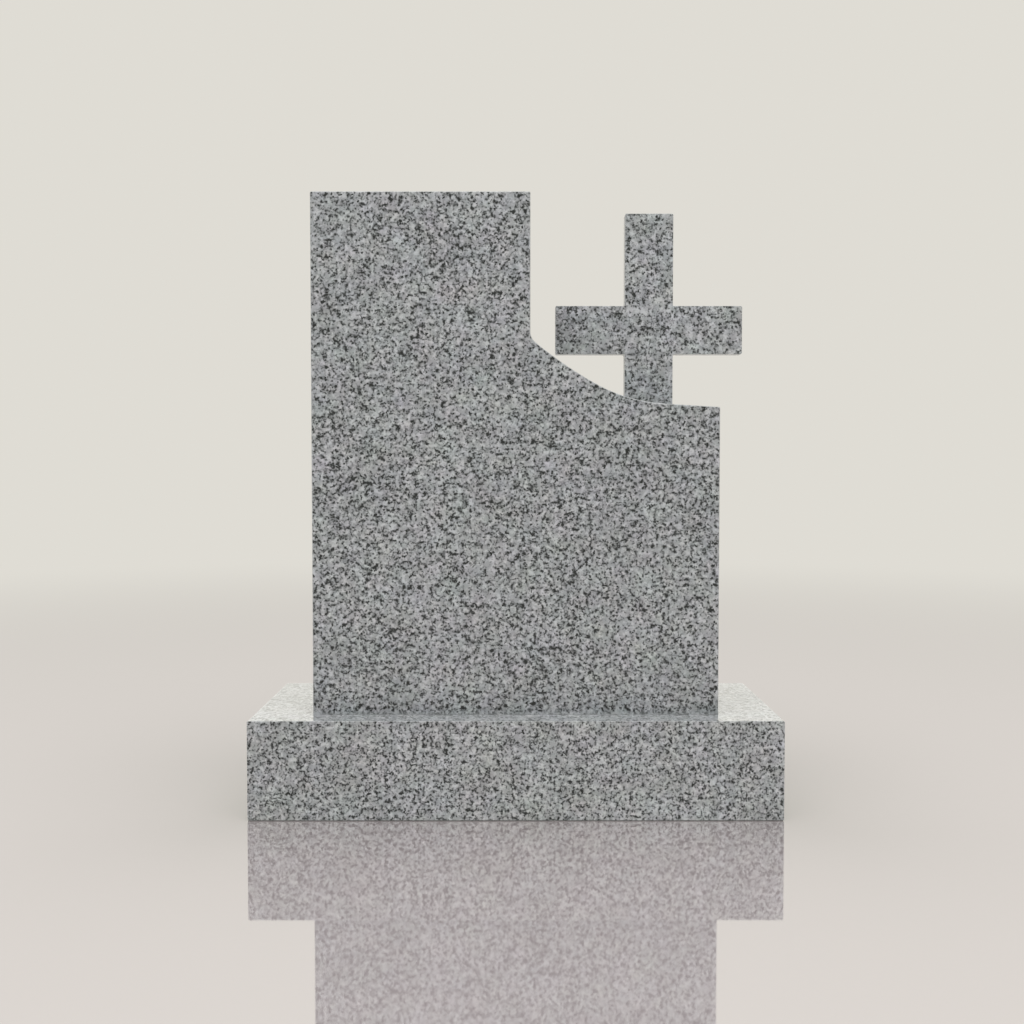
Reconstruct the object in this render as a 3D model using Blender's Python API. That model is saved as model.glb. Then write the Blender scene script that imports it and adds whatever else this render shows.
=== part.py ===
"""Cross memorial of polished grey granite: a plinth, a stepped tablet and a Latin cross.

Metres, +Z up, the front looks towards -Y. The origin is the middle of the plinth's underside.
"""
import math

import bmesh
import bpy

# Driving dimensions of the plinth.
PLINTH_WIDTH = 0.800
PLINTH_DEPTH = 0.300
PLINTH_HEIGHT = 0.150

# Driving dimensions of the tablet. Heights are counted from the tablet's own underside.
TABLET_WIDTH = 0.618
TABLET_MARGIN = 0.045
TABLET_HEIGHT = 0.7905
TALL_PART_WIDTH = 0.331
SHOULDER_HEIGHT = 0.468
SHOULDER_FALL = math.radians(3.4)
SHOULDER_RUN = 0.084
LOWER_ARC_RADIUS = 0.245
LOWER_ARC_END = math.radians(29.0)
UPPER_ARC_RADIUS = 0.600
STEP_CORNER_RADIUS = 0.020

# Driving dimensions of the cross.
BAR_WIDTH = 0.0765
CROSS_WIDTH = 0.297
CROSS_THICKNESS = 0.020
HEAD_HEIGHT = 0.1455
NECK_HEIGHT = 0.0825
CROSS_EDGE_OFFSET = 0.0970

# The bed joint between two stones, and the eased edge of every corner outside a joint.
JOINT = 0.0003
ARRIS = 0.002
ARRIS_STEPS = 2
SHARP_ANGLE = math.radians(30.0)

# How far one facet turns along an arc.
FACET_TURN = math.radians(2.0)


def clear_scene():
    for old in list(bpy.data.objects):
        bpy.data.objects.remove(old, do_unlink=True)


def granite(name, colour, roughness):
    """A plain polished stone colour for one piece."""
    material = bpy.data.materials.new(name)
    material.use_nodes = True
    shader = material.node_tree.nodes["Principled BSDF"]
    shader.inputs["Base Color"].default_value = (*colour, 1.0)
    shader.inputs["Roughness"].default_value = roughness
    shader.inputs["Metallic"].default_value = 0.0
    return material


def hollow_arc(centre, radius, start, end):
    """Points on the underside of a circle, from one slope angle to another.

    At slope angle t the point is the centre plus radius times (-sin t, -cos t).
    """
    facets = max(2, math.ceil((end - start) / FACET_TURN))
    turns = [start + (end - start) * i / facets for i in range(facets + 1)]
    return [(centre[0] - radius * math.sin(t), centre[1] - radius * math.cos(t)) for t in turns]


def step_corner(centre, radius, step_x):
    """Centre and first slope angle of the small hollow between the step and an arc.

    The small circle touches the step's upright face and lies inside the arc's circle, so its
    centre is the corner radius from the face and the difference of the radii from the arc's centre.
    """
    x = step_x + STEP_CORNER_RADIUS
    z = centre[1] - math.sqrt((radius - STEP_CORNER_RADIUS) ** 2 - (x - centre[0]) ** 2)
    return (x, z), math.atan2(centre[0] - x, centre[1] - z)


def cut_away():
    """The cut from the shoulder's outer edge up to the foot of the step, right to left.

    A straight shoulder falls outwards so that rain runs off. A lower and an upper arc follow it,
    each tangent to the one before, and a small hollow turns the curve up into the step.
    """
    outer_x = TABLET_WIDTH / 2
    step_x = TALL_PART_WIDTH - outer_x
    straight_end = (outer_x - SHOULDER_RUN, SHOULDER_HEIGHT + SHOULDER_RUN * math.tan(SHOULDER_FALL))
    lower = (straight_end[0] + LOWER_ARC_RADIUS * math.sin(SHOULDER_FALL),
             straight_end[1] + LOWER_ARC_RADIUS * math.cos(SHOULDER_FALL))
    growth = UPPER_ARC_RADIUS - LOWER_ARC_RADIUS
    upper = (lower[0] + growth * math.sin(LOWER_ARC_END), lower[1] + growth * math.cos(LOWER_ARC_END))
    points = [(outer_x, SHOULDER_HEIGHT)]
    corner, corner_start = step_corner(upper, UPPER_ARC_RADIUS, step_x)
    if corner_start > LOWER_ARC_END:
        points += hollow_arc(lower, LOWER_ARC_RADIUS, SHOULDER_FALL, LOWER_ARC_END)
        points += hollow_arc(upper, UPPER_ARC_RADIUS, LOWER_ARC_END, corner_start)[1:]
    else:
        corner, corner_start = step_corner(lower, LOWER_ARC_RADIUS, step_x)
        points += hollow_arc(lower, LOWER_ARC_RADIUS, SHOULDER_FALL, corner_start)
    points += hollow_arc(corner, STEP_CORNER_RADIUS, corner_start, math.pi / 2)[1:]
    return points


def height_on(points, x):
    """Height of a right-to-left line of points at x."""
    for (right, z_right), (left, z_left) in zip(points, points[1:]):
        if left <= x <= right:
            return z_left + (z_right - z_left) * (x - left) / (right - left)
    return points[0][1] if x > points[0][0] else points[-1][1]


def slab(name, outline, bed, thickness, material, place):
    """A block along Y, from its outline in the XZ plane and the bed that closes the outline below.

    The bed's edges stay sharp, so that the joint under them is tight. All others are eased.
    """
    mesh = bpy.data.meshes.new(name)
    shape = bmesh.new()
    face = shape.faces.new([shape.verts.new((x, -thickness / 2, z)) for x, z in outline + bed])
    grown = bmesh.ops.extrude_face_region(shape, geom=[face])
    rear = [item for item in grown["geom"] if isinstance(item, bmesh.types.BMVert)]
    bmesh.ops.translate(shape, verts=rear, vec=(0.0, thickness, 0.0))
    bmesh.ops.recalc_face_normals(shape, faces=shape.faces)
    seated = {vert for vert in shape.verts for x, z in bed
              if math.dist((vert.co.x, vert.co.z), (x, z)) < JOINT / 2}
    eased = [edge for edge in shape.edges
             if edge.calc_face_angle() > SHARP_ANGLE and not seated.issuperset(edge.verts)]
    bmesh.ops.bevel(shape, geom=eased, offset=ARRIS, offset_type="OFFSET", segments=ARRIS_STEPS,
                    profile=0.5, affect="EDGES")
    shape.to_mesh(mesh)
    shape.free()
    mesh.materials.append(material)
    mesh.shade_smooth()
    mesh.set_sharp_from_angle(angle=SHARP_ANGLE)
    piece = bpy.data.objects.new(name, mesh)
    piece.location = place
    bpy.context.collection.objects.link(piece)
    return piece


def plinth():
    half = PLINTH_WIDTH / 2
    outline = [(half, 0.0), (-half, 0.0), (-half, PLINTH_HEIGHT), (half, PLINTH_HEIGHT)]
    stone = granite("plinth_granite", (0.27, 0.27, 0.265), 0.16)
    return slab("plinth", outline, [], PLINTH_DEPTH, stone, (0.0, 0.0, 0.0))


def tablet():
    half = TABLET_WIDTH / 2
    step_x = TALL_PART_WIDTH - half
    outline = [(-half, TABLET_HEIGHT), (step_x, TABLET_HEIGHT), *reversed(cut_away())]
    bed = [(half, 0.0), (-half, 0.0)]
    thickness = PLINTH_DEPTH - 2 * TABLET_MARGIN
    stone = granite("tablet_granite", (0.26, 0.26, 0.26), 0.16)
    return slab("tablet", outline, bed, thickness, stone, (0.0, 0.0, PLINTH_HEIGHT + JOINT))


def cross():
    """The cross in its own outline: x from its upright's middle, z from the tablet's underside."""
    seat = cut_away()
    middle = TABLET_WIDTH / 2 - CROSS_EDGE_OFFSET
    bar = BAR_WIDTH / 2
    arm = CROSS_WIDTH / 2
    inner = [x - middle for x, z in seat if abs(x - middle) < bar - JOINT]
    foot = [(x, height_on(seat, middle + x) + JOINT) for x in [bar, *inner, -bar]]
    arms_under = height_on(seat, middle) + JOINT + NECK_HEIGHT
    arms_over = arms_under + BAR_WIDTH
    top = arms_over + HEAD_HEIGHT
    outline = [(-bar, arms_under), (-arm, arms_under), (-arm, arms_over), (-bar, arms_over),
               (-bar, top), (bar, top), (bar, arms_over), (arm, arms_over), (arm, arms_under),
               (bar, arms_under)]
    stone = granite("cross_granite", (0.265, 0.27, 0.265), 0.16)
    place = (middle, 0.0, PLINTH_HEIGHT + JOINT)
    return slab("cross", outline, foot, CROSS_THICKNESS, stone, place)


clear_scene()
plinth()
tablet()
cross()
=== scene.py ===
import math

import bpy
import numpy as np
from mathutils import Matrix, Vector


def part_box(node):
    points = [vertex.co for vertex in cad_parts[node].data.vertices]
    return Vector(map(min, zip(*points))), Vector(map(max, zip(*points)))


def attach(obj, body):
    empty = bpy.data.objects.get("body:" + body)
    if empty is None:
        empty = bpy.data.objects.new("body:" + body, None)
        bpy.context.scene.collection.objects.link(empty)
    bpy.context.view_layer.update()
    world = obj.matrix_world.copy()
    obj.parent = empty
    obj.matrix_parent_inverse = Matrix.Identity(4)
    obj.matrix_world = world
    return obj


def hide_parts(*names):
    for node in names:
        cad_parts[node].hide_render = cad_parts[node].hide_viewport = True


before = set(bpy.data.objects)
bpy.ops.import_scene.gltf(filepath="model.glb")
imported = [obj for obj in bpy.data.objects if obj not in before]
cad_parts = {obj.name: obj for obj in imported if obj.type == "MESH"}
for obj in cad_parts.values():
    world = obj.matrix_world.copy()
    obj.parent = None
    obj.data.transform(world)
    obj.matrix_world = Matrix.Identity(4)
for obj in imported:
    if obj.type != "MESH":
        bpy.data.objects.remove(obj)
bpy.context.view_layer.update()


# The plinth: one block of light grey granite with black mica flecks, polished on its top, front
# and ends. Its edges are eased by hand, its rear is only honed, the underside keeps the marks of
# the saw, and a thin dark line painted along its foot stands for its contact shadow.
PATH_STEP = 0.002
CORNER_RADIUS = 0.0024
CORNER_FACETS = 6
PLINTH_EASED = 0.0006
WIDEST = 0.0016
EASED_FULLNESS = 1.5
EASED_FACETS = 6
BED_WIDTH = 0.00015
UNDERSIDE_WIDTH = 0.0019
BED_FADE = 0.003
FLAT_RING = 0.0003
RUB_WAVES = 9
RUB_TURNS = (5, 60)
RUB_WOBBLE = 0.10
NICK_SPACING = 0.16
NICK_LENGTH = (0.0012, 0.0035)
NICK_DEPTH = (0.15, 0.45)
HONED, SAWN = 0.45, 1.0
SHARP_ANGLE = math.radians(30)


def rounded_path(corners):
    """A closed path through corners given as rows (x, z, radius), as arrays x and z.

    Each corner with a radius becomes an arc: its ends lie radius / tan(half angle) back along both
    sides, and its centre radius / sin(half angle) along the line that halves the corner. A point
    of the arc is its two ends seen from the centre, weighed by the sines of the turns still to go
    and gone. The straights between arcs are divided evenly into steps no longer than PATH_STEP.
    """
    corners = np.asarray(corners, float)
    spot, radii = corners[:, :2], corners[:, 2]
    back = np.roll(spot, 1, axis=0) - spot
    ahead = np.roll(spot, -1, axis=0) - spot
    back /= np.linalg.norm(back, axis=1)[:, None]
    ahead /= np.linalg.norm(ahead, axis=1)[:, None]
    arcs = []
    for here, to_last, to_next, radius in zip(spot, back, ahead, radii):
        if radius == 0:
            arcs.append(here[None])
            continue
        half = math.acos(np.clip(to_last @ to_next, -1, 1)) / 2
        halving = (to_last + to_next) / np.linalg.norm(to_last + to_next)
        centre = here + halving * radius / math.sin(half)
        first = here + to_last * radius / math.tan(half)
        last = here + to_next * radius / math.tan(half)
        share = np.linspace(0, 1, CORNER_FACETS + 1)[:, None]
        sweep = math.pi - 2 * half
        arcs.append(centre + ((first - centre) * np.sin((1 - share) * sweep)
                              + (last - centre) * np.sin(share * sweep)) / math.sin(sweep))
    pieces = []
    for arc, following in zip(arcs, arcs[1:] + arcs[:1]):
        gap = following[0] - arc[-1]
        parts = max(1, math.ceil(np.linalg.norm(gap) / PATH_STEP))
        pieces += [arc, arc[-1] + gap * (np.arange(1, parts) / parts)[:, None]]
    path = np.vstack(pieces)
    return path[:, 0], path[:, 1]


def around(x, z):
    """How far along a closed path each point lies, the path's length, and each point's way inwards.

    A point's heading runs from the point before it to the one after it. The way inwards is the
    heading turned a quarter to the left, because the paths run anticlockwise seen from the front.
    """
    spot = np.stack([x, z], axis=1)
    leg = np.linalg.norm(np.roll(spot, -1, axis=0) - spot, axis=1)
    along = np.concatenate([[0.0], np.cumsum(leg)[:-1]])
    heading = np.roll(spot, -1, axis=0) - np.roll(spot, 1, axis=0)
    heading /= np.linalg.norm(heading, axis=1)[:, None]
    return along, leg.sum(), np.stack([-heading[:, 1], heading[:, 0]], axis=1)


def rubbed_edge(along, length, seed):
    """Share by which the eased edge widens or narrows along the path.

    A few sine waves of whole turns per round stand for the uneven hand rubbing, and small nicks
    are added as narrow bells of random place, length and depth.
    """
    rng = np.random.default_rng(seed)
    turns = rng.integers(*RUB_TURNS, RUB_WAVES)[:, None]
    start = rng.uniform(0, 2 * np.pi, (RUB_WAVES, 1))
    waves = np.sin(2 * np.pi * turns * along / length + start)
    count = int(length / NICK_SPACING)
    place = rng.uniform(0, length, (count, 1))
    size = rng.uniform(*NICK_LENGTH, (count, 1))
    depth = rng.uniform(*NICK_DEPTH, (count, 1))
    away = (along - place + length / 2) % length - length / 2
    return RUB_WOBBLE * waves.mean(axis=0) + (depth * np.exp(-(away / size) ** 2)).sum(axis=0)


def eased_widths(along, length, off_bed, eased, bed_width, seed):
    """Widths of the eased edge along the path, in front and behind.

    The stone's own width grows by the rubbed share, as far as WIDEST, and narrows to the bed's
    width over BED_FADE at both ends of the bed.
    """
    fade = np.clip(off_bed / BED_FADE, 0, 1)
    uneven = [eased * (1 + rubbed_edge(along, length, seed + side)) for side in range(2)]
    return [bed_width + (np.minimum(width, WIDEST) - bed_width) * fade for width in uneven]


def mark(mesh, name, domain, values):
    """Values kept on the mesh under a name, one for each point or face, for its material."""
    store = mesh.attributes.new(name, "FLOAT", domain)
    store.data.foreach_set("value", values.astype(np.float32).ravel())


def stone_block(name, bed, rest, front, rear, seed, eased, rear_finish=HONED, bed_width=BED_WIDTH):
    """A block with eased edges: a closed path carried along a section from front to rear.

    The section starts on the front face, turns over the front edge along a curve between a flat
    and a round one (the width times 1 - sin and 1 - cos of the turn, with the sine and cosine to
    the power 2 divided by EASED_FULLNESS), runs straight to the rear and turns over again. A
    narrow flat ring on both sides of each eased edge keeps the shading of the faces flat, and
    flat faces close both ends. The bed comes first in the path.
    """
    x, z = rounded_path(np.vstack([bed, rest]))
    along, length, inward = around(x, z)
    bed_end = np.hypot(*np.diff(np.asarray(bed, float)[:, :2], axis=0).T).sum()
    off_bed = np.where(along > bed_end, np.minimum(along - bed_end, length - along), 0.0)
    wide, wide_behind = eased_widths(along, length, off_bed, eased, bed_width, seed)

    turn = np.linspace(0, np.pi / 2, EASED_FACETS + 1)[:, None]
    inset = 1 - np.sin(turn) ** (2 / EASED_FULLNESS)
    depth = 1 - np.cos(turn) ** (2 / EASED_FULLNESS)
    edge = np.zeros_like(along)
    insets = np.vstack([wide + FLAT_RING, inset * wide, edge,
                        edge, inset[::-1] * wide_behind, wide_behind + FLAT_RING])
    depths = np.vstack([edge + front, front + depth * wide, front + wide + FLAT_RING,
                        rear - wide_behind - FLAT_RING, rear - depth[::-1] * wide_behind, edge + rear])
    grid = np.stack([x + insets * inward[:, 0], depths, z + insets * inward[:, 1]], axis=2)
    rows, columns = depths.shape

    at = np.arange(rows * columns).reshape(rows, columns)
    after = np.roll(at, -1, axis=1)
    quads = np.stack([at[:-1], at[1:], after[1:], after[:-1]], axis=2).reshape(-1, 4)
    faces = quads.tolist() + [at[0].tolist(), at[-1, ::-1].tolist()]
    mesh = bpy.data.meshes.new(name)
    mesh.from_pydata(grid.reshape(-1, 3).tolist(), [], faces)
    mesh.shade_smooth()
    mesh.set_sharp_from_angle(angle=SHARP_ANGLE)

    flat = np.zeros((1, 1))
    rubbed = np.vstack([flat, np.sin(2 * turn), flat, flat, np.sin(2 * turn[::-1]), flat])
    mark(mesh, "rubbed", "POINT", rubbed * np.minimum(wide / eased, 1))
    on_bed = (off_bed == 0) & (np.roll(off_bed, -1) == 0)
    dull = np.zeros((rows - 1, columns))
    dull[EASED_FACETS + 1:-EASED_FACETS - 1] = on_bed * SAWN
    mark(mesh, "dull", "FACE", np.append(dull, [0.0, rear_finish]))
    piece = bpy.data.objects.new(name, mesh)
    bpy.context.scene.collection.objects.link(piece)
    return piece


def put(tree, kind, inputs=(), **settings):
    """A new node with its settings, and its inputs by name or number, linked or set."""
    made = tree.nodes.new(kind)
    for key, value in settings.items():
        setattr(made, key, value)
    for key, value in dict(inputs).items():
        if isinstance(value, bpy.types.NodeSocket):
            tree.links.new(value, made.inputs[key])
        else:
            made.inputs[key].default_value = value
    return made


def calc(tree, operation, *terms):
    """The result of one Math node."""
    return put(tree, "ShaderNodeMath", enumerate(terms), operation=operation).outputs[0]


def vector(tree, operation, *terms, output="Vector"):
    """The result of one Vector Math node. A length or a distance is its output Value."""
    return put(tree, "ShaderNodeVectorMath", enumerate(terms), operation=operation).outputs[output]


def ramp(tree, value, low, high, out_low=0.0, out_high=1.0):
    """The value carried from low..high to out_low..out_high along an S curve."""
    spans = {"Value": value, "From Min": low, "From Max": high, "To Min": out_low, "To Max": out_high}
    return put(tree, "ShaderNodeMapRange", spans, interpolation_type="SMOOTHSTEP").outputs[0]


def blend(tree, share, first, second, how="MIX"):
    """Two colours mixed by a share."""
    return put(tree, "ShaderNodeMix", {0: share, 6: first, 7: second}, data_type="RGBA",
               blend_type=how).outputs[2]


def new_group(name, inputs, outputs):
    """An empty node group with its named sockets, its start node and its end node."""
    tree = bpy.data.node_groups.new(name, "ShaderNodeTree")
    for direction, sockets in (("INPUT", inputs), ("OUTPUT", outputs)):
        for label, (kind, start) in sockets.items():
            socket = tree.interface.new_socket(label, in_out=direction, socket_type="NodeSocket" + kind)
            if start is not None:
                socket.default_value = start
    return tree, put(tree, "NodeGroupInput").outputs, put(tree, "NodeGroupOutput").inputs


# How the noises are read: the way in which a layer is moved aside, and the middle range of values
# that a swing is stretched over.
ASIDE = (1.0, 0.7, -1.0)
MIDDLE_RANGE = (0.3, 0.7)


def noise(tree, spot, scale, detail, roughness=0.6, moved=0.0, output="Fac"):
    """Cloudy noise at a scale per metre, read at a spot moved aside so that no two layers agree."""
    place = vector(tree, "ADD", spot, [moved * way for way in ASIDE])
    settings = {"Vector": place, "Scale": scale, "Detail": detail, "Roughness": roughness}
    return put(tree, "ShaderNodeTexNoise", settings).outputs[output]


def swing(tree, value, reach):
    """A noise's middle range carried to a share from minus to plus its reach."""
    return ramp(tree, value, *MIDDLE_RANGE, -reach, reach)


# The granite's grain: the cells per metre of each noise that draws it, with the edge at which it
# turns into a fleck or a grain, or how far it swings.
RAGGED_SCALE, RAGGED_REACH = 900.0, 0.0011
CLUMP_SCALE, CLUMP_SWING = 64.5, 0.037
DRIFT_SCALE, DRIFT_SWING = 9.0, 0.007
FINE_SCALE, FINER_SCALE, NET_EDGE = 165.0, 208.0, (0.464, 0.727)
LARGE_SCALE, LARGE_EDGE = 106.0, (0.686, 0.716)
GRAIN_SCALE, GRAIN_EDGE = 117.0, (0.366, 0.705)
CLOUD_SCALE, CLOUD_SWING = 16.2, 0.18
CRYSTAL_SCALE, CRYSTAL_SWING = 480.0, 0.17
HUE_SCALE = 24.0


def granite_group():
    """Light grey granite: pale feldspar and grey quartz grains under a loose net of black mica.

    Two noises of 5 and 6 mm, each carried over a wide soft step, give the fine net, and a third
    of 9 mm over a hard step gives the few larger black flecks. Two slower noises, of 16 and
    110 mm, lift all three, so the mica gathers in clumps. The ground wanders between two greys in
    grains of 9 mm and clouds of 60 mm, and every crystal of a 2 mm scatter is a little lighter or
    darker than the next. A noise of 40 mm gives a faint drift of hue.
    """
    tree, given, result = new_group("granite_grain", {
        "Vector": ("Vector", None),
        "Pale": ("Color", (0.686, 0.700, 0.709, 1)),
        "Grey": ("Color", (0.437, 0.451, 0.459, 1)),
        "Mica": ("Color", (0.004, 0.0085, 0.0075, 1)),
        "Flecks": ("Float", 0.0),
        "Tint": ("Float", 0.15),
    }, {"Color": ("Color", None), "Mica": ("Float", None), "Height": ("Float", None)})
    ragged = noise(tree, given["Vector"], RAGGED_SCALE, detail=2.0, roughness=0.5, output="Color")
    ragged = vector(tree, "SUBTRACT", ragged, (0.5, 0.5, 0.5))
    spot = vector(tree, "MULTIPLY_ADD", ragged, [RAGGED_REACH] * 3, given["Vector"])

    clump = swing(tree, noise(tree, spot, CLUMP_SCALE, detail=2.0), CLUMP_SWING)
    drift = swing(tree, noise(tree, spot, DRIFT_SCALE, detail=3.0, moved=1.7), DRIFT_SWING)
    clump = calc(tree, "ADD", calc(tree, "ADD", clump, drift), given["Flecks"])
    fine = calc(tree, "ADD", noise(tree, spot, FINE_SCALE, detail=1.0, roughness=0.72), clump)
    finer = noise(tree, spot, FINER_SCALE, detail=1.0, roughness=0.72, moved=3.3)
    finer = calc(tree, "ADD", finer, clump)
    large = calc(tree, "ADD", noise(tree, spot, LARGE_SCALE, detail=2.0, moved=5.7), clump)
    net = calc(tree, "MAXIMUM", ramp(tree, fine, *NET_EDGE), ramp(tree, finer, *NET_EDGE))
    mica = calc(tree, "MAXIMUM", net, ramp(tree, large, *LARGE_EDGE))

    grains = noise(tree, spot, GRAIN_SCALE, detail=2.3, roughness=0.5, moved=9.1)
    cloud = swing(tree, noise(tree, spot, CLOUD_SCALE, detail=2.0), CLOUD_SWING)
    crystals = put(tree, "ShaderNodeTexVoronoi", {"Vector": spot, "Scale": CRYSTAL_SCALE},
                   voronoi_dimensions="3D")
    crystal = put(tree, "ShaderNodeSeparateColor", {"Color": crystals.outputs["Color"]}).outputs["Red"]
    paleness = calc(tree, "ADD", ramp(tree, grains, *GRAIN_EDGE), cloud)
    paleness = calc(tree, "ADD", paleness, ramp(tree, crystal, 0.0, 1.0, -CRYSTAL_SWING, CRYSTAL_SWING))
    ground = blend(tree, paleness, given["Grey"], given["Pale"])
    hue = noise(tree, spot, HUE_SCALE, detail=3.0, roughness=0.7, moved=2.2, output="Color")
    ground = blend(tree, 1.0, ground, blend(tree, given["Tint"], (1, 1, 1, 1), hue), "MULTIPLY")
    tree.links.new(blend(tree, mica, ground, given["Mica"]), result["Color"])
    tree.links.new(mica, result["Mica"])
    tree.links.new(calc(tree, "SUBTRACT", crystal, mica), result["Height"])
    return tree


# The mason's finish: how dull and pale the rubbed edges and dull faces are, the rubbed edges'
# paleness being partly a painted highlight, how rough each thing makes the polish, and how deep
# the saw marks, the swell and the pits are.
RUBBED_DULL, DULL_PALE = 0.55, 0.8
PALE_AND_HIGHLIGHT_SHARE, PALE_AND_HIGHLIGHT_COLOUR = 0.60, (0.60, 0.61, 0.60, 1)
PATCH_SCALE, PATCH_EDGE = 9.0, (0.35, 0.7)
MICA_ROUGHNESS, PATCH_ROUGHNESS, DULL_ROUGHNESS = 0.10, 0.05, 0.62
SAW_CENTRE, SAW_WAVES, SAW_DEPTH = (0.35, 0.2, -1.4), 900.0, 0.35
WANDER_SCALE = 30.0
SWELL_SCALE, SWELL_DEPTH = 14.0, 0.10
PIT_DEPTH, DULL_PITS = 0.004, 0.12
BUMP_DEPTH = 0.0006


def finish_group():
    """How the mason left the surface: polished, rubbed along the edges, honed behind and sawn below.

    A dull surface is paler, because the scratched grains scatter light, and less contrasty. The
    rubbed edges are paler in full, partly as real honing and partly as a painted highlight along
    the arrises. The saw leaves shallow arcs: sine waves of the distance from a point far outside
    the block.
    """
    tree, given, result = new_group("stone_finish", {
        "Color": ("Color", (0.4, 0.4, 0.4, 1)), "Mica": ("Float", 0.0), "Grain": ("Float", 0.0),
        "Vector": ("Vector", None), "Rubbed": ("Float", 0.0), "Dull": ("Float", 0.0),
        "Polish": ("Float", 0.10),
    }, {"Color": ("Color", None), "Roughness": ("Float", None), "Height": ("Float", None)})
    place = given["Vector"]
    dull = calc(tree, "MAXIMUM", calc(tree, "MULTIPLY", given["Rubbed"], RUBBED_DULL), given["Dull"])
    # The rubbed edges turn paler in full: partly real honing, partly a painted highlight along the
    # arrises.
    pale = calc(tree, "MAXIMUM", given["Rubbed"], calc(tree, "MULTIPLY", given["Dull"], DULL_PALE))
    pale_and_highlit = blend(tree, PALE_AND_HIGHLIGHT_SHARE, given["Color"], PALE_AND_HIGHLIGHT_COLOUR)
    tree.links.new(blend(tree, pale, given["Color"], pale_and_highlit), result["Color"])

    patch = noise(tree, place, PATCH_SCALE, detail=3.0, roughness=0.5)
    polish = calc(tree, "ADD", given["Polish"], calc(tree, "MULTIPLY", given["Mica"], MICA_ROUGHNESS))
    polish = calc(tree, "ADD", polish, ramp(tree, patch, *PATCH_EDGE, 0.0, PATCH_ROUGHNESS))
    roughness = calc(tree, "ADD", polish, calc(tree, "MULTIPLY", dull, DULL_ROUGHNESS))
    tree.links.new(roughness, result["Roughness"])

    far = vector(tree, "DISTANCE", place, SAW_CENTRE, output="Value")
    arcs = calc(tree, "SINE", calc(tree, "MULTIPLY", far, SAW_WAVES))
    arcs = calc(tree, "MULTIPLY", arcs, noise(tree, place, WANDER_SCALE, detail=4.0, roughness=0.5))
    saw = calc(tree, "MULTIPLY", arcs, calc(tree, "POWER", given["Dull"], 2.0))
    swell = noise(tree, place, SWELL_SCALE, detail=1.0, roughness=0.5)
    pits = calc(tree, "ADD", PIT_DEPTH, calc(tree, "MULTIPLY", dull, DULL_PITS))
    height = calc(tree, "MULTIPLY", swell, SWELL_DEPTH)
    height = calc(tree, "ADD", calc(tree, "MULTIPLY", saw, SAW_DEPTH), height)
    height = calc(tree, "ADD", height, calc(tree, "MULTIPLY", given["Grain"], pits))
    tree.links.new(height, result["Height"])
    return tree


grain_tree = granite_group()
finish_tree = finish_group()

# The stone's polish, the pale sheen painted on it at a slant, and the contact shadow painted along the
# plinth's foot.
STONE_IOR = 1.55
PAINTED_SHEEN_FROM, PAINTED_SHEEN_TO, PAINTED_SHEEN_SHARE = 0.6, 0.85, 0.33
PAINTED_SHEEN_COLOUR = (0.60, 0.61, 0.61, 1)
LINE_SCALE, LINE_RAGGED = 240.0, 0.0016
# A thin dark line painted on the plinth's lowest millimetre: a painted contact shadow.
PAINTED_CONTACT_SHADOW = {"full": 0.0003, "gone": 0.0010, "share": 0.56, "colour": (0.022, 0.020, 0.018, 1)}


def foot_line(tree, shade, place, above, full, gone, share, colour):
    """The shade with a ragged line of a colour along a stone's foot.

    The line keeps its whole share up to the height full above the foot and fades to nothing at
    the height gone. A noise lifts both heights by up to LINE_RAGGED.
    """
    above = calc(tree, "MULTIPLY_ADD", noise(tree, place, LINE_SCALE, detail=3.0), -LINE_RAGGED, above)
    return blend(tree, ramp(tree, above, full, gone, share, 0.0), shade, colour)


def granite(name, shift, level=0.0, line=None, **grain):
    """Polished granite for one stone. Each is cut from its own place in the quarry block: the shift.

    A line along the stone's foot, which stands at the level, is painted: a contact shadow on the
    plinth and a faint pale band of light on the tablet. What else is given sets the granite's own
    grain.
    """
    material = bpy.data.materials.new(name)
    material.use_nodes = True
    tree = material.node_tree
    where = put(tree, "ShaderNodeTexCoord").outputs["Object"]
    place = put(tree, "ShaderNodeMapping", {"Vector": where, "Location": shift}).outputs["Vector"]
    stone = put(tree, "ShaderNodeGroup", {"Vector": place, **grain}, node_tree=grain_tree).outputs
    rubbed = put(tree, "ShaderNodeAttribute", attribute_name="rubbed", attribute_type="GEOMETRY")
    dull = put(tree, "ShaderNodeAttribute", attribute_name="dull", attribute_type="GEOMETRY")
    finish = put(tree, "ShaderNodeGroup", {
        "Color": stone["Color"], "Mica": stone["Mica"], "Grain": stone["Height"], "Vector": place,
        "Rubbed": rubbed.outputs["Fac"], "Dull": dull.outputs["Fac"],
    }, node_tree=finish_tree).outputs
    # Painted sheen: at a slant the base colour is mixed towards pale, standing in for the polish's
    # reflection.
    facing = put(tree, "ShaderNodeLayerWeight", {"Blend": 0.5}).outputs["Facing"]
    painted_sheen = ramp(tree, facing, PAINTED_SHEEN_FROM, PAINTED_SHEEN_TO, 0.0, PAINTED_SHEEN_SHARE)
    shade = blend(tree, painted_sheen, finish["Color"], PAINTED_SHEEN_COLOUR)
    # The line along the foot is painted: a contact shadow on the plinth, light on the tablet's foot.
    if line:
        height = put(tree, "ShaderNodeSeparateXYZ", {"Vector": where}).outputs["Z"]
        shade = foot_line(tree, shade, place, calc(tree, "SUBTRACT", height, level), **line)
    bump = put(tree, "ShaderNodeBump", {"Height": finish["Height"], "Strength": 1.0,
                                        "Distance": BUMP_DEPTH})
    shader = tree.nodes["Principled BSDF"]
    shader.inputs["IOR"].default_value = STONE_IOR
    tree.links.new(shade, shader.inputs["Base Color"])
    tree.links.new(finish["Roughness"], shader.inputs["Roughness"])
    tree.links.new(bump.outputs["Normal"], shader.inputs["Normal"])
    return material


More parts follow.
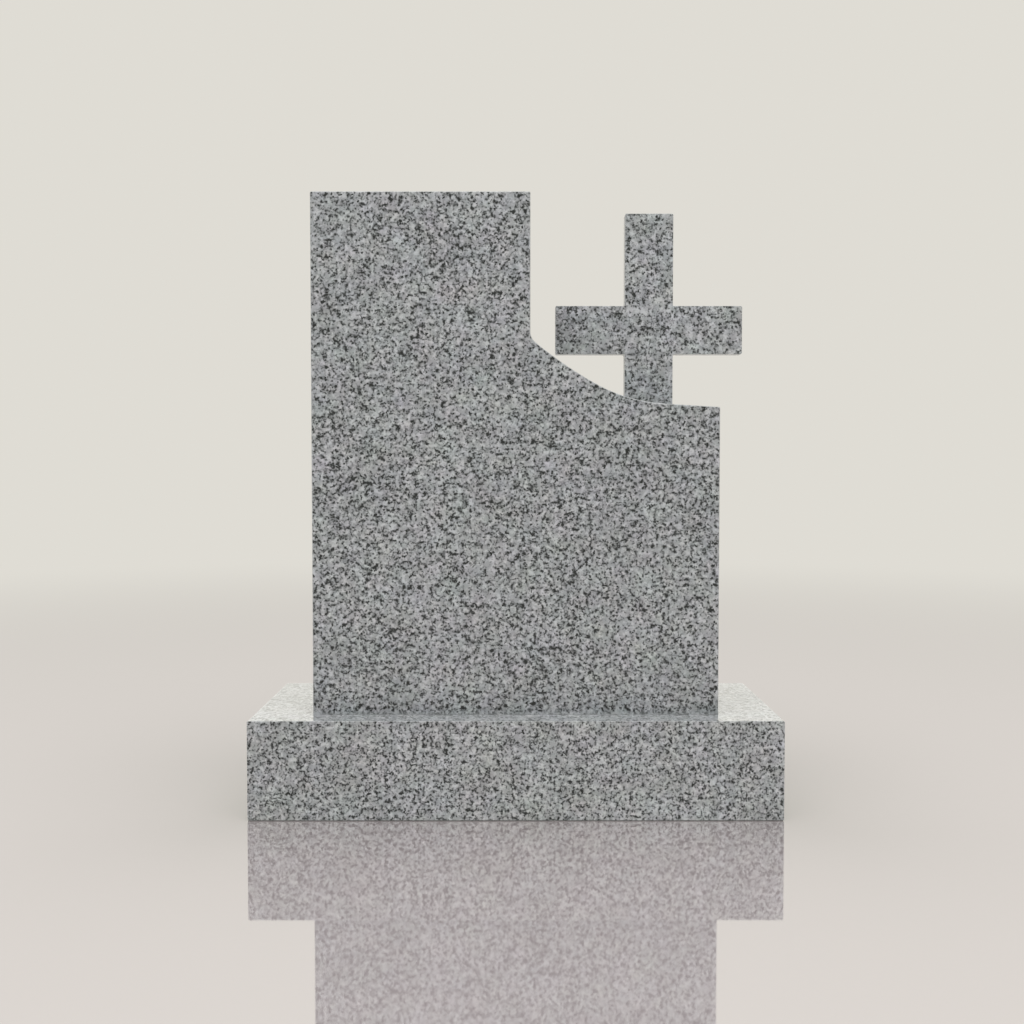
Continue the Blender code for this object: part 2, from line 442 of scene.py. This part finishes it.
(left, front, foot), (right, rear, top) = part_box("plinth")
plinth = stone_block(
    "plinth_stone",
    [(left, foot, CORNER_RADIUS), (right, foot, CORNER_RADIUS)],
    [(right, top, CORNER_RADIUS), (left, top, CORNER_RADIUS)],
    front, rear, seed=11, eased=PLINTH_EASED, bed_width=UNDERSIDE_WIDTH)
plinth.data.materials.append(granite(
    "plinth_granite", shift=(0.31, 0.12, 0.55), level=foot, line=PAINTED_CONTACT_SHADOW, Flecks=-0.001,
    Pale=(0.702, 0.714, 0.722, 1), Grey=(0.447, 0.459, 0.467, 1)))
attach(plinth, "root")
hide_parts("plinth")


# The tablet: one upright block of the same granite, glued to the plinth. Its upper right is cut
# away with a step, a small hollow, two long arcs and a shoulder that falls outwards, all polished.
# Its foot is left sharp so that the joint stays tight, and a faint pale band of painted light runs along
# it.
TABLET_EASED = 0.0014
TALL_PART_WIDTH = 0.331
SHOULDER_RISE = 0.468
SHOULDER_FALL = math.radians(3.4)
SHOULDER_RUN = 0.084
LOWER_ARC_RADIUS = 0.245
LOWER_ARC_END = math.radians(29.0)
UPPER_ARC_RADIUS = 0.600
STEP_CORNER_RADIUS = 0.020
# A faint pale band painted along the tablet's foot: painted light that lifts the shade at the joint.
PAINTED_FOOT_LIGHT = {"full": 0.0005, "gone": 0.0055, "share": 0.32, "colour": (0.62, 0.64, 0.64, 1)}


def hollow_arc(centre, radius, start, end):
    """Points under a circle's centre from one slope to another, as rows (x, z, 0).

    At a slope the point is the centre plus radius times (-sin, -cos) of the slope.
    """
    slope = np.linspace(start, end, math.ceil(radius * (end - start) / PATH_STEP) + 1)[:, None]
    return np.hstack([centre[0] - radius * np.sin(slope), centre[1] - radius * np.cos(slope), 0 * slope])


def cut_away(outer, step, bed):
    """The cut from the shoulder's outer edge to the foot of the step, as rows (x, z, radius).

    Each arc starts where and how the one before it ends. The small hollow touches the step, and
    its centre lies the difference of the radii from the upper arc's centre.
    """
    fall = SHOULDER_RUN * math.tan(SHOULDER_FALL)
    start = np.array([outer - SHOULDER_RUN, bed + SHOULDER_RISE + fall])
    lower = start + LOWER_ARC_RADIUS * np.array([math.sin(SHOULDER_FALL), math.cos(SHOULDER_FALL)])
    growth = UPPER_ARC_RADIUS - LOWER_ARC_RADIUS
    upper = lower + growth * np.array([math.sin(LOWER_ARC_END), math.cos(LOWER_ARC_END)])
    x = step + STEP_CORNER_RADIUS
    reach = UPPER_ARC_RADIUS - STEP_CORNER_RADIUS
    corner = np.array([x, upper[1] - math.sqrt(reach ** 2 - (x - upper[0]) ** 2)])
    turn = math.atan2(upper[0] - corner[0], upper[1] - corner[1])
    return np.vstack([
        [(outer, bed + SHOULDER_RISE, CORNER_RADIUS)],
        hollow_arc(lower, LOWER_ARC_RADIUS, SHOULDER_FALL, LOWER_ARC_END),
        hollow_arc(upper, UPPER_ARC_RADIUS, LOWER_ARC_END, turn)[1:],
        hollow_arc(corner, STEP_CORNER_RADIUS, turn, math.pi / 2)[1:]])


(left, front, foot), (right, rear, top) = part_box("tablet")
step = left + TALL_PART_WIDTH
seat = cut_away(right, step, foot)
tablet = stone_block(
    "tablet_stone",
    [(left, foot, 0), (right, foot, 0)],
    np.vstack([seat, [(step, top, CORNER_RADIUS), (left, top, CORNER_RADIUS)]]),
    front, rear, seed=23, eased=TABLET_EASED)
tablet.data.materials.append(granite(
    "tablet_granite", shift=(-0.42, 0.77, 0.05), level=foot, line=PAINTED_FOOT_LIGHT))
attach(tablet, "root")
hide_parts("tablet")


# The setting compound: pale grey glue pressed thin in the joint under the tablet. It stops a
# little short of the stone's edges all round.
JOINT = 0.0003
GLUE_SHY = 0.00016
GLUE_CLEARANCE = 0.00002
GLUE_DARK, GLUE_PALE = (0.46, 0.46, 0.45, 1), (0.62, 0.62, 0.60, 1)
GLUE_ROUGHNESS = 0.75
GRIT_SCALE, GRIT_DEPTH = 2500.0, 0.00005


def glue_bed(name, x, z, front, rear):
    """A thin sheet of glue: the line x, z carried from front to rear, with its top a joint higher."""
    ring_x = np.concatenate([x, x[::-1]])
    ring_z = np.concatenate([z + GLUE_CLEARANCE, z[::-1] + JOINT - GLUE_CLEARANCE])
    count = len(ring_x)
    spots = np.stack([np.tile(ring_x, 2), np.repeat([front, rear], count), np.tile(ring_z, 2)], axis=1)
    at = np.arange(count)
    sides = np.stack([at, at + count, np.roll(at, -1) + count, np.roll(at, -1)], axis=1)
    mesh = bpy.data.meshes.new(name)
    mesh.from_pydata(spots.tolist(), [], sides.tolist() + [at.tolist(), (at[::-1] + count).tolist()])
    material = bpy.data.materials.new(name)
    material.use_nodes = True
    tree = material.node_tree
    grit = put(tree, "ShaderNodeTexCoord").outputs["Object"]
    grit = noise(tree, grit, GRIT_SCALE, detail=2.0)
    bump = put(tree, "ShaderNodeBump", {"Height": grit, "Distance": GRIT_DEPTH})
    shader = tree.nodes["Principled BSDF"]
    shader.inputs["Roughness"].default_value = GLUE_ROUGHNESS
    tree.links.new(blend(tree, grit, GLUE_DARK, GLUE_PALE), shader.inputs["Base Color"])
    tree.links.new(bump.outputs["Normal"], shader.inputs["Normal"])
    mesh.materials.append(material)
    bed = bpy.data.objects.new(name, mesh)
    bpy.context.scene.collection.objects.link(bed)
    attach(bed, "root")


glue_bed("tablet_glue", np.array([left + GLUE_SHY, right - GLUE_SHY]), np.full(2, foot - JOINT),
         front + GLUE_SHY, rear - GLUE_SHY)


# The cross: a Latin cross cut from a slab of the same granite and polished all round, standing
# on the tablet's shoulder with one arm past the tablet's edge. Its foot follows the arc it is
# glued to, and its inner corners keep the small radius of the cutter.
CROSS_EASED = 0.0007
BAR_WIDTH = 0.0765
HEAD_HEIGHT = 0.1455
INNER_RADIUS = 0.0018

(left, front, foot), (right, rear, top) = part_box("cross")
middle = (left + right) / 2
bar_left, bar_right = middle - BAR_WIDTH / 2, middle + BAR_WIDTH / 2
over, under = top - HEAD_HEIGHT, top - HEAD_HEIGHT - BAR_WIDTH
bed_x = np.linspace(bar_left, bar_right, math.ceil(BAR_WIDTH / PATH_STEP))
bed_z = np.interp(bed_x, seat[::-1, 0], seat[::-1, 1]) + JOINT
cross = stone_block(
    "cross_stone",
    np.stack([bed_x, bed_z, 0 * bed_x], axis=1),
    [(bar_right, under, INNER_RADIUS), (right, under, CORNER_RADIUS), (right, over, CORNER_RADIUS),
     (bar_right, over, INNER_RADIUS), (bar_right, top, CORNER_RADIUS), (bar_left, top, CORNER_RADIUS),
     (bar_left, over, INNER_RADIUS), (left, over, CORNER_RADIUS), (left, under, CORNER_RADIUS),
     (bar_left, under, INNER_RADIUS)],
    front, rear, seed=37, eased=CROSS_EASED, rear_finish=0.0)
cross.data.materials.append(granite(
    "cross_granite", shift=(0.05, -0.38, 0.91), Flecks=-0.011,
    Pale=(0.706, 0.720, 0.728, 1), Grey=(0.450, 0.463, 0.470, 1)))
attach(cross, "root")
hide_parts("cross")
inside = slice(1, -1)
glue_bed("cross_glue", bed_x[inside], bed_z[inside] - JOINT, front + GLUE_SHY, rear - GLUE_SHY)


# The studio: a plain pale floor that melts into an even pale surround, a wide soft light
# overhead, and a bright sheet low behind the memorial, which only the plinth's polish mirrors.
SURROUND = (0.738, 0.716, 0.660, 1)
DAYLIGHT = (0.390, 0.399, 0.403, 1)
FLOOR_SIZE = 60.0
FLOOR_COLOUR = (0.798, 0.686, 0.694, 1)
FOOT_SHADE, FOOT_REACH = 0.40, 0.22
FLOOR_MIRROR = 0.565
MIRROR_COLOUR, MIRROR_ROUGHNESS = (0.98, 1.0, 0.97, 1), 0.030
FADE_FROM, FADE_TO = 1.0, 5.0


def surround(tree):
    """The surround as the camera and the polish see it, or the softer daylight that it sheds."""
    path = put(tree, "ShaderNodeLightPath").outputs
    seen = calc(tree, "MAXIMUM", path["Is Camera Ray"], path["Is Glossy Ray"])
    return blend(tree, seen, DAYLIGHT, SURROUND)


def studio_floor(reach):
    """A square sheet on the ground, part matt and part mirror. The reach is the plinth's far corner.

    The matt colour darkens towards the plinth by FOOT_SHADE times e to the power of minus the
    distance from the plinth over FOOT_REACH. The distance is the length of what a place lies
    beyond the reach in each direction. Far from the stones the floor glows in the surround's
    colour, so that no horizon shows.
    """
    mesh = bpy.data.meshes.new("floor")
    half = FLOOR_SIZE / 2
    corners = [(-half, -half, 0), (half, -half, 0), (half, half, 0), (-half, half, 0)]
    mesh.from_pydata(corners, [], [(0, 1, 2, 3)])
    floor = bpy.data.objects.new("floor", mesh)
    bpy.context.scene.collection.objects.link(floor)
    material = bpy.data.materials.new("floor")
    material.use_nodes = True
    tree = material.node_tree
    place = put(tree, "ShaderNodeTexCoord").outputs["Object"]
    beyond = vector(tree, "SUBTRACT", vector(tree, "ABSOLUTE", place), reach)
    beyond = vector(tree, "LENGTH", vector(tree, "MAXIMUM", beyond, (0, 0, 0)), output="Value")
    near = calc(tree, "EXPONENT", calc(tree, "DIVIDE", beyond, -FOOT_REACH))
    shade = blend(tree, calc(tree, "MULTIPLY", near, FOOT_SHADE), FLOOR_COLOUR, (0, 0, 0, 1))
    matt = put(tree, "ShaderNodeBsdfDiffuse", {"Color": shade})
    mirror = put(tree, "ShaderNodeBsdfGlossy", {"Color": MIRROR_COLOUR, "Roughness": MIRROR_ROUGHNESS})
    skin = put(tree, "ShaderNodeMixShader", {0: FLOOR_MIRROR, 1: matt.outputs[0], 2: mirror.outputs[0]})
    glow = put(tree, "ShaderNodeEmission", {"Color": surround(tree)})
    away = ramp(tree, vector(tree, "LENGTH", place, output="Value"), FADE_FROM, FADE_TO)
    faded = put(tree, "ShaderNodeMixShader", {0: away, 1: skin.outputs[0], 2: glow.outputs[0]})
    tree.links.new(faded.outputs[0], tree.nodes["Material Output"].inputs["Surface"])
    mesh.materials.append(material)


def soft_light(name, place, aim, size, power, colour):
    """A rectangular soft light at a place, turned to look at a point, out of the camera's sight."""
    lamp = bpy.data.lights.new(name, "AREA")
    lamp.shape = "RECTANGLE"
    lamp.size, lamp.size_y = size
    lamp.energy = power
    lamp.color = colour
    holder = bpy.data.objects.new(name, lamp)
    holder.location = place
    toward = Vector(aim) - Vector(place)
    holder.rotation_euler = toward.to_track_quat("-Z", "Y").to_euler()
    holder.visible_camera = False
    bpy.context.scene.collection.objects.link(holder)
    return holder


studio_floor(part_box("plinth")[1])
soft_light("overhead", place=(0.0, -1.4, 4.2), aim=(0.0, 0.0, 0.4), size=(5.0, 3.2), power=131.0,
           colour=(0.98, 0.99, 1.0))

# The sheet behind is turned to the plinth alone: its low polished top mirrors it nearly white.
sheet = soft_light("sheet_behind", place=(0.0, 3.6, 1.2), aim=(0.0, 0.0, 1.2), size=(7.0, 2.2),
                   power=33.0, colour=(1.0, 0.98, 0.88))
sheet.visible_diffuse = False
mirrors_it = bpy.data.collections.new("mirrors_the_sheet")
mirrors_it.objects.link(plinth)
sheet.light_linking.receiver_collection = mirrors_it

world = bpy.data.worlds.new("surround")
world.use_nodes = True
tree = world.node_tree
tree.links.new(surround(tree), tree.nodes["Background"].inputs["Color"])
bpy.context.scene.world = world
bpy.context.scene.view_settings.view_transform = "Standard"


# The camera: in front and slightly above the plinth, looking a little down, as in the
# photograph. Its place and focal length were solved from the corners of the stones.
FOCAL_PIXELS = 1121.8
PICTURE_PIXELS = 1024
SENSOR = 36.0
CAMERA_PLACE = (-0.00685, -1.8037, 0.5215)
PITCH_DOWN = math.radians(2.094)
TURN_RIGHT = math.radians(0.040)

camera_data = bpy.data.cameras.new("camera")
camera_data.sensor_width = SENSOR
camera_data.lens = SENSOR * FOCAL_PIXELS / PICTURE_PIXELS
camera = bpy.data.objects.new("camera", camera_data)
camera.location = CAMERA_PLACE
camera.rotation_euler = (math.pi / 2 - PITCH_DOWN, 0.0, -TURN_RIGHT)
bpy.context.scene.collection.objects.link(camera)
bpy.context.scene.camera = camera
